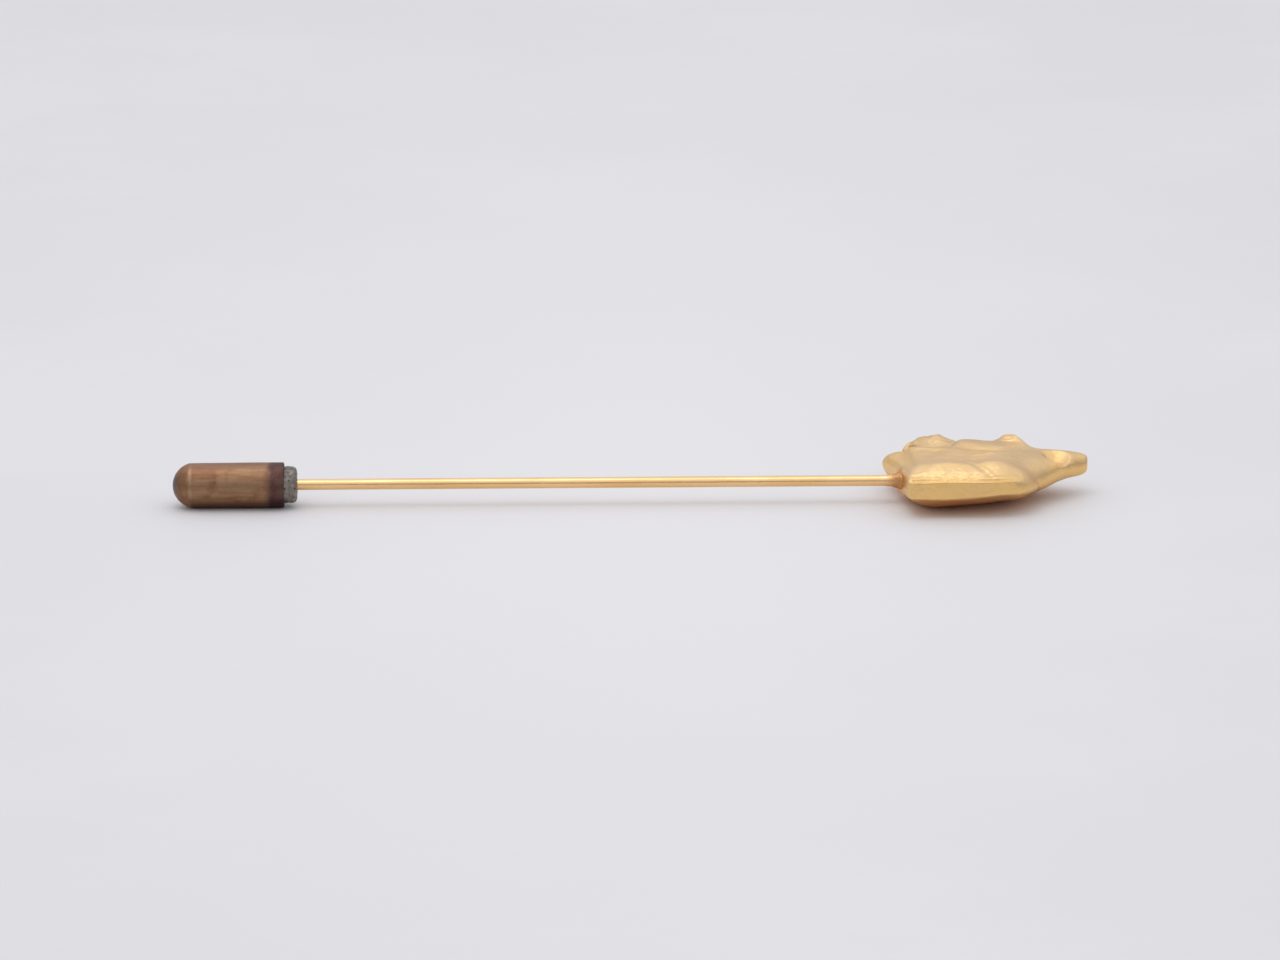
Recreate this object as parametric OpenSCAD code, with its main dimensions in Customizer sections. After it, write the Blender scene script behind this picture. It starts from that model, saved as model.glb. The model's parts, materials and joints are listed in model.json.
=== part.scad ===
// Horse-head stick pin: a cast horse head soldered to a round stem, with a
// bullet-shaped keeper that pulls off the point.
// X runs along the stem from the keeper to the ear, Z is up, and the pin lies on z = 0.
// The head lies on its back with its relief up, its crest at -Y and its face at +Y.

/* [Stem] */
// Diameter of the round stem
stem_d = 0.9; // [0.7:0.05:1]
// Bare stem between the keeper and the solder
stem_bare = 48.2; // [40:0.2:60]
// Length of the ground point hidden in the keeper
point_l = 7.2; // [5:0.2:8]
// Largest diameter of the solder fillet
solder_d = 1.5; // [1.2:0.1:1.8]
// Length of the solder fillet
solder_l = 2; // [1.2:0.1:2.4]

/* [Keeper] */
// Outside diameter of the brass shell
shell_d = 3.72; // [3.4:0.02:4.2]
// Length of the shell with its dome
shell_l = 9.25; // [8.5:0.25:11]
// Depth of the dome
dome_l = 1.4; // [1:0.1:1.7]
// Thickness of the shell wall
shell_wall = 0.28; // [0.2:0.02:0.4]
// Length of the gripping insert
insert_l = 6; // [4:0.25:7]
// How far the insert stands out of the shell
insert_out = 1.07; // [0.6:0.01:1.6]

/* [Head] */
// Length of the head from the lips to the tip of the ear
head_l = 17; // [14:0.5:22]
// Width of the head from the crest to the nose
head_w = 15.5; // [13:0.1:18]
// Height of the relief above the table
head_h = 4.5; // [4:0.05:6]

/* [Hidden] */
$fn = 64;

// Running clearance of the stem in the insert, and the seam of the insert in the shell
stem_play = 0.05;
seam = 0.04;

// Columns of the contour table, in millimetres of the head's own frame: u from the lips
// to the ear, v from the crest to the nose, z above the table. Each row is one upright
// section from the outer edge (crest, poll, forehead, nose) to the inner one (front of
// the neck, throat, jaw, chin): the two ends, how far it bows towards the ear, the height
// of the relief near the outer edge and beyond, the top and the foot of the rim, the
// width of the ledge, how far the relief takes to rise and how evenly (0.5 for a quarter
// round, 1 for a gentle swell), and how far the back takes to round off.
OUT_U = 0;
OUT_V = 1;
IN_U = 2;
IN_V = 3;
BOW = 4;
CREST = 5;
CROWN = 6;
RIM = 7;
FOOT = 8;
LEDGE = 9;
REACH = 10;
SWELL = 11;
BACK = 12;
CONTOUR = [
    // out u, out v, in u, in v, bow, crest, crown, rim, foot, ledge, reach, swell, back
    [1.92, 0.35, 0, 9.9, 0.55, 3.4, 2.45, 3.05, 1.72, 0.1, 2.2, 0.85, 4.8],
    [2.02, 0.08, 0.25, 10.5, 0.5, 3.7, 2.95, 3.12, 1.68, 0.2, 2.3, 0.85, 4.8],
    [2.25, 0, 1, 10.9, 0.4, 3.95, 3.2, 3.15, 1.65, 0.28, 2.3, 0.85, 4.8],
    [2.55, 0, 1.7, 10.9, 0.3, 4.1, 3.25, 3.15, 1.65, 0.3, 2.3, 0.85, 4.8],
    [2.95, 0, 2.15, 10.75, 0.25, 4.15, 3.55, 3.15, 1.65, 0.3, 2.3, 0.85, 4.8],
    [3.7, 0, 2.8, 10.5, 0.2, 4.2, 3.65, 3.15, 1.65, 0.3, 2.3, 0.85, 4.9],
    [4.9, 0, 3.4, 10.2, 0.12, 4.25, 3.68, 3.15, 1.65, 0.3, 2.3, 0.85, 5.1],
    [6.3, 0, 4, 9.95, 0.05, 4.25, 3.7, 3.15, 1.7, 0.3, 2.3, 0.85, 5.6],
    [8.1, 0, 4.7, 9.8, 0, 4.25, 3.8, 3.15, 1.85, 0.3, 2.3, 0.85, 6.4],
    [9.8, 0.1, 5.1, 9.8, 0, 4.25, 3.9, 3.15, 2.02, 0.28, 2.4, 0.85, 7.2],
    [11.3, 0.7, 5.25, 9.88, 0, 4.1, 3.95, 3.05, 2.15, 0.22, 2.8, 0.8, 7.4],
    [12.3, 1.75, 5.32, 9.96, 0, 3.9, 4, 2.85, 2.15, 0.14, 3.2, 0.75, 6.5],
    [12.75, 3.2, 5.35, 10.04, 0, 3.8, 4.05, 2.5, 1.9, 0.06, 3.2, 0.6, 5],
    [12.8, 5.1, 5.35, 10.12, 0, 3.9, 4.1, 2.9, 1.5, 0.06, 2.4, 0.6, 3.4],
    [12.8, 7, 5.35, 10.15, 0, 4, 4.1, 3.75, 1.1, 0.08, 1.8, 0.8, 2.2],
    [12.9, 8.9, 5.33, 10.18, 0, 4, 4.1, 3.2, 0.9, 0.08, 1.5, 0.7, 1.8],
    [12.3, 10.7, 5.3, 10.22, 0, 3.9, 3.9, 2, 0.9, 0.08, 1.4, 0.5, 1.8],
    [10.6, 12.2, 5.15, 10.4, 0, 3.42, 3.42, 1.95, 0.9, 0.08, 1.4, 0.5, 1.8],
    [8.8, 13.3, 4.8, 10.8, 0, 3.02, 3.02, 1.9, 0.9, 0.08, 1.4, 0.5, 1.8],
    [6.9, 14.3, 4.25, 11.5, 0, 2.95, 2.95, 1.85, 0.9, 0.08, 1.4, 0.5, 1.8],
    [5.2, 15.1, 3.65, 12.2, 0, 2.95, 2.95, 1.8, 0.85, 0.08, 1.3, 0.5, 1.8],
    [3.7, 15.5, 3, 12.75, 0, 2.95, 2.95, 1.7, 0.8, 0.08, 1.2, 0.5, 1.8],
    [2.5, 15.4, 2.3, 13.15, 0, 2.75, 2.75, 1.6, 0.75, 0.06, 1, 0.5, 1.8],
    [1.8, 14.9, 1.8, 13.6, 0, 2.45, 2.45, 1.5, 0.75, 0.05, 0.8, 0.5, 1.8],
    [1.6, 14.5, 1.6, 14, 0, 2.1, 2.1, 1.4, 0.8, 0.04, 0.6, 0.5, 1.8],
];

// Columns of the relief table: centre, half length, half width, turn from +u, height,
// and how soft its edge is (1 crisp, 2 soft)
AT_U = 0;
AT_V = 1;
HALF_L = 2;
HALF_W = 3;
TURN = 4;
RISE = 5;
SOFT = 6;
RELIEF = [
    // u, v, half length, half width, turn, rise, soft
    [7.4, 10.6, 3.1, 2.7, 150, 0.16, 1.4],
    [10.75, 10.8, 1.95, 1.3, 150, 0.66, 1.5],
    [4.6, 13.9, 2.8, 1.25, 152, 0.55, 1.4],
    [12.6, 8.7, 1.6, 1.3, 150, 0.15, 1.5],
    [3.7, 9.1, 1.9, 0.8, -14, 0.16, 1.5],
    [4.5, 2.3, 2.7, 1.5, 4, 0.2, 1.6],
    [9.4, 2.5, 1.9, 1.5, -10, 0.2, 1.6],
    [12.2, 4.6, 1, 0.8, -60, 0.12, 1.6],
];

// Columns of the ear table: station, middle and half width across, underside and top
EAR_U = 0;
EAR_V = 1;
EAR_HALF = 2;
EAR_LOW = 3;
EAR_TOP = 4;
EAR = [
    // u, v, half width, underside, top
    [10.4, 6.6, 3.4, 1.4, 3.6],
    [11.9, 6.55, 3.9, 1, 3.93],
    [13.2, 7, 3.25, 1.02, 3.9],
    [14.2, 7.4, 2.5, 1.2, 3.8],
    [15.2, 7.75, 1.65, 1.4, 3.68],
    [16.2, 8.05, 1.05, 1.5, 3.48],
    [16.8, 8.12, 0.75, 1.72, 3.3],
    [17, 8.15, 0.5, 2, 3.1],
];

// Sections drawn between two rows, and points along the relief and the back of each
row_steps = 5;
relief_n = 28;
back_n = 9;
ear_n = 22;
ear_steps = 4;

// Height of the lip behind a ledge of full width, and how far its wall leans back
lip = 0.22;
full_ledge = 0.3;
lip_lean = 0.08;

// Share of a section over which the relief goes from its crest to its crown
crest_share = 0.6;

// Share of the rim's height at the inner edge, reach and swell of the shoulder there, and
// foot and reach of the rounded back there
inner_fall = 0.75;
inner_reach = 1.3;
inner_swell = 0.5;
inner_foot = 0.95;
inner_back = 1.8;

// Places where the back lifts off the table, towards the ear and the foot of the neck
ear_lift_u = 9.5;
ear_lift = 0.05;
neck_lift_u = 5;
neck_lift = 0.21;
neck_slant = 0.28;

function mix(a, b, t) = a + (b - a) * t;
function rise(d, reach, swell) = pow(sin(90 * min(1, max(0, d) / reach)), swell);
function curve(a, b, c, d, t) =
    0.5 * (2 * b + (c - a) * t + (2 * a - 5 * b + 4 * c - d) * t * t
        + (3 * b - a - 3 * c + d) * t * t * t);
function row(table, i) = table[max(0, min(len(table) - 1, i))];
function between(table, s) =
    let (i = min(floor(s), len(table) - 2))
    curve(row(table, i - 1), row(table, i), row(table, i + 1), row(table, i + 2), s - i);

function bump(b, u, v) =
    let (
        du = u - b[AT_U],
        dv = v - b[AT_V],
        along = (du * cos(b[TURN]) + dv * sin(b[TURN])) / b[HALF_L],
        across = (dv * cos(b[TURN]) - du * sin(b[TURN])) / b[HALF_W]
    )
    b[RISE] * pow(max(0, 1 - along * along - across * across), b[SOFT]);
function add(list, i = 0) = i < len(list) ? list[i] + add(list, i + 1) : 0;
function relief(u, v) = add([for (b = RELIEF) bump(b, u, v)]);

function lift(u, v) =
    ear_lift * pow(max(0, u - ear_lift_u), 2)
    + neck_lift * pow(max(0, neck_lift_u - u - neck_slant * v), 2);

// One closed ring: the rim, the ledge and the relief from the outer edge to the inner
// one, then back along the underside
function ring(c) =
    let (
        from = [c[OUT_U], c[OUT_V]],
        to = [c[IN_U], c[IN_V]],
        wide = norm(to - from),
        way = (to - from) / wide,
        side = [way[1], -way[0]],
        start = c[LEDGE] + lip_lean,
        shoulder = c[RIM] + lip * c[LEDGE] / full_ledge,
        ledge = from + way * c[LEDGE] + side * c[BOW] * sin(180 * c[LEDGE] / wide)
    )
    concat(
        [[from[0], from[1], c[RIM]], [ledge[0], ledge[1], c[RIM]]],
        [for (k = [0 : relief_n])
            let (
                d = mix(start, wide, (1 - cos(180 * k / relief_n)) / 2),
                at = from + way * d + side * c[BOW] * sin(180 * d / wide),
                base = mix(shoulder, c[RIM] * inner_fall, d / wide),
                inward = min(1, d / wide / crest_share),
                high = mix(c[CREST], c[CROWN], (1 - cos(180 * inward)) / 2),
                share = rise(d - start, c[REACH], c[SWELL]) * rise(wide - d, inner_reach, inner_swell)
            )
            [at[0], at[1], mix(base, high + relief(at[0], at[1]), share)]],
        [for (k = [0 : back_n])
            let (
                d = wide * (1 + cos(180 * k / back_n)) / 2,
                at = from + way * d + side * c[BOW] * sin(180 * d / wide),
                belly = lift(at[0], at[1]),
                foot = max(belly, mix(c[FOOT], min(c[FOOT], inner_foot), d / wide)),
                near = 1 - min(1, d / c[BACK], (wide - d) / inner_back)
            )
            [at[0], at[1], mix(belly, foot, near * near)]]
    );

// A solid through closed rings that all have the same number of points
module loft(rings) {
    n = len(rings[0]);
    last = len(rings) - 1;
    polyhedron(
        points = [for (r = rings) each r],
        faces = concat(
            [[for (k = [n - 1 : -1 : 0]) k]],
            [for (i = [0 : last - 1], k = [0 : n - 1])
                let (a = i * n + k, b = i * n + (k + 1) % n)
                each [[a, b + n, a + n], [a, b, b + n]]],
            [[for (k = [0 : n - 1]) last * n + k]]
        )
    );
}

contour_rings = [
    for (s = [0 : 1 / row_steps : len(CONTOUR) - 1]) ring(between(CONTOUR, s))
];

function ear_ring(c) = [
    for (k = [0 : ear_n - 1])
        let (a = -360 * k / ear_n, mid = (c[EAR_TOP] + c[EAR_LOW]) / 2)
        [
            c[EAR_U],
            c[EAR_V] + c[EAR_HALF] * cos(a),
            mid + (c[EAR_TOP] - c[EAR_LOW]) / 2 * sin(a)
        ]
];
ear_rings = [for (s = [0 : 1 / ear_steps : len(EAR) - 1]) ear_ring(between(EAR, s))];

// Lowest and highest corners of the form as drawn, before it is brought to size
form_points = concat([for (r = contour_rings) each r], [for (r = ear_rings) each r]);
form_lo = [for (i = [0 : 2]) min([for (p = form_points) p[i]])];
form_hi = [for (i = [0 : 2]) max([for (p = form_points) p[i]])];
form_scale = [
    head_l / (form_hi[0] - form_lo[0]),
    head_w / (form_hi[1] - form_lo[1]),
    head_h / (form_hi[2] - form_lo[2])
];

// Where the stem meets the foot of the neck, as drawn and at size
join_u = 1.8;
join_v = 5.5;
neck_u = (join_u - form_lo[0]) * form_scale[0];
stem_v = (join_v - form_lo[1]) * form_scale[1];

// Radius of the flat on the point, how far the solder's waist stands off the stem, and
// the end of the stem buried in the head
point_r = 0.06;
waist = 0.08;
buried = 0.5;

keeper_l = shell_l + insert_out;
solder_x = keeper_l + stem_bare;
neck_x = solder_x + solder_l;
head_x = neck_x - neck_u;
axis_z = shell_d / 2;
middle_x = (head_x + head_l) / 2;
middle_y = (head_w - stem_v + min(-shell_d / 2, -stem_v)) / 2;
insert_d = shell_d - 2 * shell_wall - 2 * seam;

// Puts the middle of the pin's footprint at the origin
module centred() {
    translate([-middle_x, -middle_y, 0]) children();
}

// Turns a shape drawn round Z into one round the stem's axis, from the keeper's tip
module on_axis() {
    translate([0, 0, axis_z]) rotate([0, 90, 0]) children();
}

module egg(middle, half, turn, sides) {
    translate(middle) rotate(turn) scale(half) sphere(1, $fn = sides);
}

module eyeball() {
    egg(middle = [10.4, 10.4, 4.1], half = [0.62, 0.42, 0.4], turn = [0, 0, -30], sides = 20);
}

module ear_hollow() {
    egg(middle = [14.6, 6.8, 3.8], half = [1.4, 1.4, 0.8], turn = [28, -10, -2], sides = 28);
}

module nostril() {
    egg(middle = [2.6, 14.7, 3.05], half = [0.45, 0.28, 0.4], turn = [0, 0, -30], sides = 16);
}

module mouth() {
    egg(middle = [2.3, 13.9, 2.75], half = [1.25, 0.12, 0.45], turn = [0, 0, -36], sides = 16);
}

module head_form() {
    difference() {
        union() {
            loft(contour_rings);
            loft(ear_rings);
            eyeball();
        }
        ear_hollow();
        nostril();
        mouth();
    }
}

module horse_head() {
    translate([head_x, -stem_v, 0])
        resize([head_l, head_w, head_h]) translate(-form_lo) head_form();
}

module stem() {
    r = stem_d / 2;
    on_axis() rotate_extrude() polygon([
        [0, keeper_l - point_l],
        [point_r, keeper_l - point_l],
        [r, keeper_l],
        [r, solder_x],
        [r + waist, solder_x + solder_l / 2],
        [solder_d / 2, neck_x],
        [solder_d / 2, neck_x + buried],
        [0, neck_x + 2 * buried]
    ]);
}

module horse_pin() {
    color("gold") centred() union() {
        horse_head();
        stem();
    }
}

// The shell's dome is part of a ball, hollowed by a smaller one
module dome() {
    r = shell_d / 2;
    ball_r = (r * r + dome_l * dome_l) / (2 * dome_l);
    rotate_extrude() difference() {
        intersection() {
            translate([0, ball_r]) circle(ball_r);
            square([r, dome_l]);
        }
        translate([0, ball_r]) circle(ball_r - shell_wall);
    }
}

module keeper_shell() {
    r = shell_d / 2;
    color("peru") centred() on_axis() union() {
        dome();
        difference() {
            translate([0, 0, dome_l]) cylinder(h = shell_l - dome_l, r = r);
            cylinder(h = shell_l + 1, r = r - shell_wall);
        }
    }
}

module keeper_insert() {
    r = insert_d / 2;
    corner = 0.3;
    bore_r = stem_d / 2 + stem_play;
    color("slategray") centred() on_axis() translate([0, 0, keeper_l - insert_l]) difference() {
        rotate_extrude() union() {
            square([r - corner, insert_l]);
            square([r, insert_l - corner]);
            translate([r - corner, insert_l - corner]) circle(corner);
        }
        translate([0, 0, -1]) cylinder(h = insert_l + 2, r = bore_r);
    }
}

horse_pin();
keeper_shell();
keeper_insert();
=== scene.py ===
# %% [markdown]
# # A gold-plated horse-head stick pin
# The pin lies on a pale table: a cast horse head with its relief up, a thin polished
# stem soldered into the foot of the neck, and a small brass keeper pushed over the
# point. The solids come from the CAD model and are never moved. Every piece below is
# modelled around them, in the same frame, and rides on one of the two bodies: `pin`
# (head, solder and stem) or `keeper` (brass cup and grey plug). The outer box, the ends
# of the nodes, and the stem's place and radius are read from that frame, in mm.

# %% The fixed frame
import json
import math

import bpy
import numpy as np
from mathutils import Matrix, Vector, noise


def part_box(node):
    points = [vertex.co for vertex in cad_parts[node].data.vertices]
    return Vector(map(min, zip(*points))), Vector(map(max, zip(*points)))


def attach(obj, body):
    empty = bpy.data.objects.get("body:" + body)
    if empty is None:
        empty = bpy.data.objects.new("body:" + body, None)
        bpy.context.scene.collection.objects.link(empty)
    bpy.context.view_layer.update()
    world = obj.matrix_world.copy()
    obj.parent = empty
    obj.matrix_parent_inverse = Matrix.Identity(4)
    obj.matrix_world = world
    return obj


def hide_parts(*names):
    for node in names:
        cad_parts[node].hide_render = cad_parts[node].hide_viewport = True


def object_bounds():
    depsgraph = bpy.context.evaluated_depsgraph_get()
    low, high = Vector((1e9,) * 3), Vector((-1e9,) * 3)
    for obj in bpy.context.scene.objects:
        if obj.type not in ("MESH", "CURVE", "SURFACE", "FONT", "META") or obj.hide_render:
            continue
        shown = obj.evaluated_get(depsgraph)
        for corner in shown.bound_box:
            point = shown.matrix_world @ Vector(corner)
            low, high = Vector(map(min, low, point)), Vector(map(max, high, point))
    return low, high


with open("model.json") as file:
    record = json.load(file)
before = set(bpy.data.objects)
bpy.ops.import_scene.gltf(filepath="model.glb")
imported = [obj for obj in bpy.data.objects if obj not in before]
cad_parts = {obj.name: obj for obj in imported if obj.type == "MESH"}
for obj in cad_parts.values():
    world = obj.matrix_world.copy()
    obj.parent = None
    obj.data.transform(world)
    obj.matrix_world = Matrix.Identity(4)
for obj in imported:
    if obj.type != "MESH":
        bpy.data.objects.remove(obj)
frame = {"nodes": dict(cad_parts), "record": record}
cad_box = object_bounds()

MM = 0.001


def in_mm(place):
    """A place that the frame gives in metres, in mm."""
    return [round(c / MM, 4) for c in place]


BOX_LOW, BOX_HIGH = (in_mm(corner) for corner in cad_box)
STEM_MOUNT = next(m for m in frame["record"]["mounts"] if m["name"] == "stem")
AXIS_Y, AXIS_Z = in_mm(STEM_MOUNT["pos_m"])[1:]

bpy.ops.object.select_all(action="DESELECT")
print("nodes:", ", ".join(sorted(frame["nodes"])))
print("box in mm:", BOX_LOW, BOX_HIGH)

# %% [markdown]
# ## The camera
# The picture was taken with a long lens from just above the table, so far things are
# hardly smaller than near ones. An orthographic camera would have no perspective at all.
# A narrow field of view at the right height keeps the trace of it that the picture has,
# and a roll of under half a degree lets the stem rise to the right.

# %% Camera
SENSOR = 36.0
FIELD_DEG = 6.0
HEIGHT_DEG = 15.0
ROLL_DEG = -0.4
VIEW_WIDTH = 105.8 * MM
AIM = Vector((0.78, AXIS_Y, 2.05)) * MM

camera_data = bpy.data.cameras.new("camera")
camera_data.sensor_width = SENSOR
camera_data.lens = SENSOR / 2 / math.tan(math.radians(FIELD_DEG / 2))
camera_data.clip_start = 0.01
camera_data.clip_end = 10
camera = bpy.data.objects.new("camera", camera_data)
bpy.context.scene.collection.objects.link(camera)
distance = VIEW_WIDTH / 2 / math.tan(math.radians(FIELD_DEG / 2))
tilt = math.radians(90 - HEIGHT_DEG)
turned_view = Matrix.Rotation(tilt, 4, "X") @ Matrix.Rotation(math.radians(ROLL_DEG), 4, "Z")
camera.matrix_world = Matrix.Translation(AIM) @ turned_view @ Matrix.Translation((0, 0, distance))
bpy.context.scene.camera = camera
print(f"camera {distance:.3f} m away, lens {camera_data.lens:.0f} mm")

# %% [markdown]
# ## Helpers for modelling
# A turned piece, such as a stem or a cup, is drawn as a row of stations: a place along
# the stem's axis and a radius. The first ring is a primitive circle at its size and
# place. Each next ring is extruded from the last and scaled, which is how a profile is
# pulled out by hand, and both ends are closed. A spin of a drawn profile would do the
# same, but here every ring keeps the size that the table gives it.

# %% A turned piece
def only(piece):
    """Selects one piece and nothing else."""
    bpy.ops.object.select_all(action="DESELECT")
    piece.select_set(True)
    bpy.context.view_layer.objects.active = piece


def turned(name, stations, sides=96, ring=False):
    """A piece turned round the stem's axis, from (place, radius) stations in mm.
    A ring's last station joins its first, so that it has a hole right through."""
    place, radius = stations[0]
    bpy.ops.object.select_all(action="DESELECT")
    bpy.ops.mesh.primitive_circle_add(
        vertices=sides, radius=radius * MM, fill_type="NGON",
        location=(place * MM, AXIS_Y * MM, AXIS_Z * MM), rotation=(0, math.pi / 2, 0))
    piece = bpy.context.object
    piece.name = piece.data.name = name
    bpy.ops.object.transform_apply(location=True, rotation=True, scale=True)
    bpy.ops.object.mode_set(mode="EDIT")
    bpy.ops.mesh.select_all(action="SELECT")
    for (here, r_here), (there, r_there) in zip(stations, stations[1:]):
        bpy.ops.mesh.extrude_region_move(
            TRANSFORM_OT_translate={"value": ((there - here) * MM, 0, 0)})
        share = r_there / r_here
        bpy.ops.transform.resize(
            value=(1, share, share), center_override=(there * MM, AXIS_Y * MM, AXIS_Z * MM))
    if ring:
        bpy.ops.mesh.select_all(action="DESELECT")
        bpy.ops.mesh.select_face_by_sides(number=4, type="GREATER")
        bpy.ops.mesh.delete(type="ONLY_FACE")
        bpy.ops.mesh.select_non_manifold()
        bpy.ops.mesh.bridge_edge_loops()
    bpy.ops.mesh.select_all(action="SELECT")
    bpy.ops.mesh.normals_make_consistent(inside=False)
    bpy.ops.object.mode_set(mode="OBJECT")
    return piece


def rounded(start, end, corner, steps):
    """Stations of a quarter round from one (place, radius) to another, by its corner."""
    (x0, r0), (x1, r1), (xc, rc) = start, end, corner
    made = []
    for k in range(1, steps):
        t = k / steps
        a, b, c = (1 - t) ** 2, 2 * t * (1 - t), t * t
        made.append((a * x0 + b * xc + c * x1, a * r0 + b * rc + c * r1))
    return [start, *made, end]


print(f"turned pieces have their axis at y {AXIS_Y} and z {AXIS_Z} mm")

# %% [markdown]
# Real metal is never quite true. A Displace modifier with a texture could make a piece
# uneven. Here its vertices are moved along their normals by smooth noise instead, so the
# depth is in millimetres, and the noise has the same value on every run.

# %% Uneven surfaces
def co_of(mesh):
    co = np.empty(len(mesh.vertices) * 3)
    mesh.vertices.foreach_get("co", co)
    return co.reshape(-1, 3)


def normals_of(mesh):
    no = np.empty(len(mesh.vertices) * 3)
    mesh.vertices.foreach_get("normal", no)
    return no.reshape(-1, 3)


def put_co(mesh, co):
    mesh.vertices.foreach_set("co", co.ravel())
    mesh.update()


def field(points, size, seed, octaves=2):
    """Smooth noise from -1 to 1 at points in mm, with lumps of about this size in mm."""
    shift = Vector((seed * 7.3, seed * 3.1, seed * 5.7))
    return np.array([
        noise.fractal(Vector(p) / size + shift, 1.0, 2.0, octaves) for p in points])


def uneven(piece, size, depth, seed):
    """Moves a piece's surface by up to about depth mm, in lumps of about size mm."""
    co = co_of(piece.data)
    moved = field(co / MM, size, seed)[:, None] * depth * MM
    put_co(piece.data, co + normals_of(piece.data) * moved)


print("noise along 1 mm:", np.round(field([(x / 4, 0, 0) for x in range(5)], 1, 1), 2))

# %% [markdown]
# ## The stem
# The stem is a drawn wire, plated and polished, with a point ground on its hidden end.
# A cylinder and a cone could be joined, but one turned profile has no seam where the
# point begins. Its other end lies hidden in the solder.

# %% Stem
POINT_X = in_mm(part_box("horse_pin")[0])[0] + 0.02
STEM_R = STEM_MOUNT["dims"]["r_mm"]
stem = turned("pin_stem", [
    (POINT_X, 0.02), (POINT_X + 0.04, 0.05), (POINT_X + 0.22, 0.075), (POINT_X + 2.22, 0.2),
    (POINT_X + 5.22, 0.375), (POINT_X + 6.52, 0.435), (POINT_X + 7.12, STEM_R),
    *[(x, STEM_R) for x in range(-27, 23)]], sides=48)
bpy.ops.object.shade_smooth()
print("stem:", len(stem.data.polygons), "faces")

# %% [markdown]
# ## The solder
# Where the stem enters the foot of the neck, the solder has run out into a short uneven
# collar. A sculpted lump would do, but a turned one fits round the stem on all sides. It
# starts inside the stem, so that no edge shows where it begins, and is then made lumpy
# towards the head.

# %% Solder
solder = turned("solder_collar", [
    (20.0, 0.43), (20.5, 0.447), (20.9, 0.455), (21.2, 0.467), (21.4, 0.49), (21.6, 0.53),
    (21.8, 0.58), (22.0, 0.64), (22.15, 0.69), (22.28, 0.74), (22.38, 0.79), (22.46, 0.84),
    (22.54, 0.88), (22.64, 0.86), (22.8, 0.7)], sides=64)
only(solder)
rounding = solder.modifiers.new("rounding", "SUBSURF")
rounding.levels = rounding.render_levels = 1
bpy.ops.object.modifier_apply(modifier=rounding.name)
co = co_of(solder.data)
lumps = field(co / MM, 0.4, 3, 3)
LUMPY_FROM = 21.6
LUMP_DEPTH = 0.05
thick = np.clip((co[:, 0] / MM - LUMPY_FROM) / 0.4, 0, 1)
put_co(solder.data, co + normals_of(solder.data) * (lumps * thick * LUMP_DEPTH * MM)[:, None])
bpy.ops.object.shade_smooth()
print("solder:", len(solder.data.polygons), "faces")

# %% [markdown]
# ## The keeper
# The keeper is a drawn brass cup with a domed end and a faint crease where the dome
# begins. Half a sphere on a cylinder with a Solidify modifier would come close. Turned
# in one go, the cup gets its real thickness and a lip of its own: the profile goes out
# along the wall, round the lip and back in.

# %% Keeper cup
TIP_X = BOX_LOW[0]
LIP_X = in_mm(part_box("keeper_shell")[1])[0]
SHELL_R = 1.86
WALL = 0.28
BALL_R = 1.936
dome = [(TIP_X + BALL_R * (1 - math.cos(a)), 0.98 * BALL_R * math.sin(a))
        for a in np.radians([2, 6, 11, 17, 23, 29, 35, 41, 47, 53, 59, 64, 68, 71])]
cup = turned("keeper_cup", [
    *dome,
    (TIP_X + 1.36, 1.817), (TIP_X + 1.5, 1.826), (TIP_X + 1.9, 1.834),
    *[(TIP_X + x, 1.836 + 0.0028 * x) for x in (2.4, 3.2, 4, 4.8, 5.6, 6.4, 7.2, 8, 8.6, 9)],
    *rounded((LIP_X - 0.14, SHELL_R), (LIP_X, SHELL_R - 0.15), (LIP_X, SHELL_R), 4),
    *rounded((LIP_X, SHELL_R - 0.2), (LIP_X - 0.08, SHELL_R - WALL), (LIP_X, SHELL_R - WALL), 3),
    (LIP_X - 3, SHELL_R - WALL), (LIP_X - 6, SHELL_R - WALL), (LIP_X - 6.4, 1.2),
    (LIP_X - 6.6, 0.3)])
uneven(cup, 2.2, 0.012, 5)
uneven(cup, 0.5, 0.006, 6)
bpy.ops.object.shade_smooth()
print("cup:", len(cup.data.polygons), "faces")

# %% [markdown]
# A grey plug grips the stem inside the cup. It stands out of the mouth by a millimetre,
# with rounded corners and a pitted, corroded face. It is turned as a ring, because the
# stem goes right through it. The pits are pressed into the mesh, where a bump alone
# would leave the plug's edge smooth.

# %% Keeper plug
PLUG_R = 1.54
PLUG_X = in_mm(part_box("keeper_insert")[1])[0] - 0.01
BORE_R = 0.5
plug = turned("keeper_plug", [
    (PLUG_X - 5.9, BORE_R), (PLUG_X - 5.95, 0.9), (PLUG_X - 5.9, PLUG_R - 0.06),
    (PLUG_X - 5.8, PLUG_R),
    *[(PLUG_X - x, PLUG_R) for x in (4.5, 3, 2, 1.4, 1.2, 1.05, 0.9, 0.75, 0.6)],
    *rounded((PLUG_X - 0.58, PLUG_R), (PLUG_X, PLUG_R - 0.54), (PLUG_X, PLUG_R), 6),
    (PLUG_X + 0.01, 0.94), (PLUG_X + 0.01, 0.82), (PLUG_X, 0.7), (PLUG_X - 0.02, 0.58),
    (PLUG_X - 0.1, BORE_R), (PLUG_X - 0.6, BORE_R), (PLUG_X - 2, BORE_R),
    (PLUG_X - 4, BORE_R)], ring=True)
only(plug)
rounding = plug.modifiers.new("rounding", "SUBSURF")
rounding.subdivision_type = "SIMPLE"
rounding.levels = rounding.render_levels = 1
bpy.ops.object.modifier_apply(modifier=rounding.name)
co = co_of(plug.data)
from_axis = np.hypot(co[:, 1] / MM - AXIS_Y, co[:, 2] / MM - AXIS_Z)
open_part = (from_axis > BORE_R + 0.1) & (co[:, 0] / MM > PLUG_X - 1.1)
PIT_DEPTH = 0.09
pits = np.maximum(field(co / MM, 0.35, 11, 3), -0.2) + 0.2
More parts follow.
